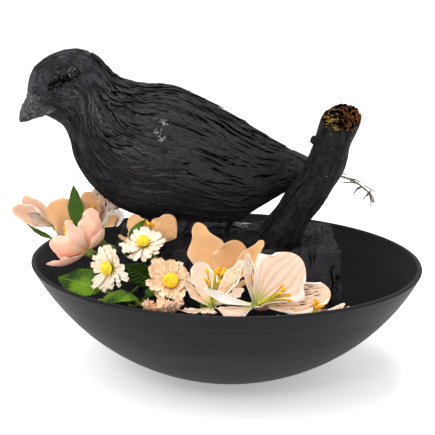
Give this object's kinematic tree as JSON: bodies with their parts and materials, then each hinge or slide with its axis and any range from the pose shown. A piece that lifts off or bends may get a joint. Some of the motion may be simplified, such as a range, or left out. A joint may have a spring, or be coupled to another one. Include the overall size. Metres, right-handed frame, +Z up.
{
  "type": "ikebana arrangement",
  "caption": "Round shallow bowl with a block of floral foam that carries a perching bird figure, a thick sawn branch, silk lilies, daisies and leaves.",
  "frame": {"origin": "centre of the flat foot of the bowl, on the surface that it stands on", "axes": "+Z up, -Y towards the front, where the flowers are; the bird faces -X, its tail and the branch are towards +X"},
  "size_m": [0.3341, 0.3188, 0.266],
  "materials": {
    "bowl": "matt black, faint turning streaks",
    "foam": "black dry floral foam, pitted and crumbly",
    "bark": "blackened bark, dull",
    "plumage": "matt black strands and feathers",
    "beak": "matt black, rough",
    "glass_bead": "polished black bead",
    "wire": "black, matt, wrapped wire",
    "plume": "dry brown feather barbs",
    "petal_cream": "cream silk with brown dashes",
    "petal_pink": "pink and peach silk",
    "petal_beige": "beige silk",
    "stamens": "yellow-green with orange tips",
    "disc": "yellow flock",
    "stem": "yellow-green, dull",
    "leaf": "green printed silk, slight sheen"
  },
  "bodies": {
    "root": {"bird_beak": "beak", "bird_body": "plumage", "bird_eye_left": "glass_bead", "bird_eye_right": "glass_bead", "bird_leg_left": "wire", "bird_leg_right": "wire", "bird_tail": "plumage", "bird_wing_left": "plumage", "bird_wing_right": "plumage", "bowl": "bowl", "branch": "bark", "daisy_dried_disc": "disc", "daisy_dried_rays": "petal_beige", "daisy_dried_stem": "stem", "daisy_ruffled_disc": "disc", "daisy_ruffled_rays": "petal_cream", "daisy_ruffled_stem": "stem", "daisy_side_disc": "disc", "daisy_side_rays": "petal_cream", "daisy_side_stem": "stem", "daisy_top_disc": "disc", "daisy_top_rays": "petal_cream", "daisy_top_stem": "stem", "foam_block": "foam", "leaf_broad": "leaf", "leaf_dark": "leaf", "leaf_far": "leaf", "leaf_front": "leaf", "leaf_inner": "leaf", "leaf_rim": "leaf", "leaf_small": "leaf", "leaf_thin": "leaf", "leaf_upright": "leaf", "lily_back_petals": "petal_beige", "lily_back_stem": "stem", "lily_bud_petals": "petal_cream", "lily_bud_stem": "stem", "lily_front_petals": "petal_cream", "lily_front_stamens": "stamens", "lily_front_stem": "stem", "lily_left_petals": "petal_beige", "lily_left_stem": "stem", "lily_low_petals": "petal_cream", "lily_low_stem": "stem", "lily_middle_petals": "petal_cream", "lily_middle_stamens": "stamens", "lily_middle_stem": "stem", "lily_pink_petals": "petal_pink", "lily_pink_stamens": "stamens", "lily_pink_stem": "stem", "lily_rear_petals": "petal_beige", "lily_rear_stem": "stem", "plume": "plume"}
  },
  "joints": []
}
